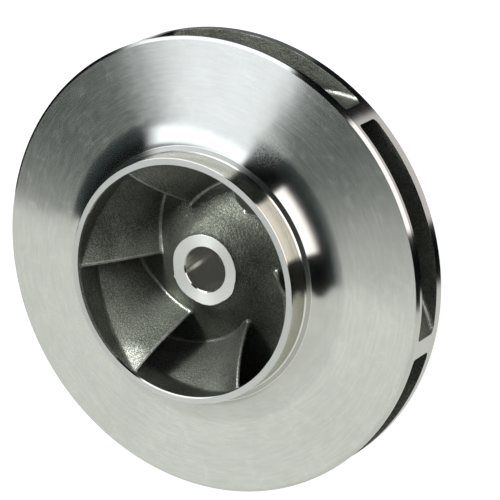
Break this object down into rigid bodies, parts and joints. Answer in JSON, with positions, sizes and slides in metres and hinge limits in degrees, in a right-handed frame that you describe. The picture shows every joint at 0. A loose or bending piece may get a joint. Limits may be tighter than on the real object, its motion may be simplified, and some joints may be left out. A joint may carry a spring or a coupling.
{
  "type": "pump impeller",
  "caption": "Closed centrifugal pump impeller: turned shrouds around swept vanes, a raised neck around the suction eye and a bored hub with a flat nose.",
  "frame": {"origin": "on the shaft axis at the end face of the back boss, the lowest face of the part", "axes": "+Z along the shaft axis, out of the suction eye; +X through the hub end of one vane's leading edge"},
  "size_m": [0.25, 0.25, 0.0597],
  "materials": {
    "turned_steel": "stainless steel, turned and satin",
    "cast_steel": "stainless steel, as cast, grey and grainy"
  },
  "bodies": {
    "root": {"front_shroud": "turned_steel", "eye_neck": "turned_steel", "back_shroud": "turned_steel", "hub": "turned_steel", "vane_1": "cast_steel", "vane_2": "cast_steel", "vane_3": "cast_steel", "vane_4": "cast_steel", "vane_5": "cast_steel", "vane_6": "cast_steel"}
  },
  "joints": []
}
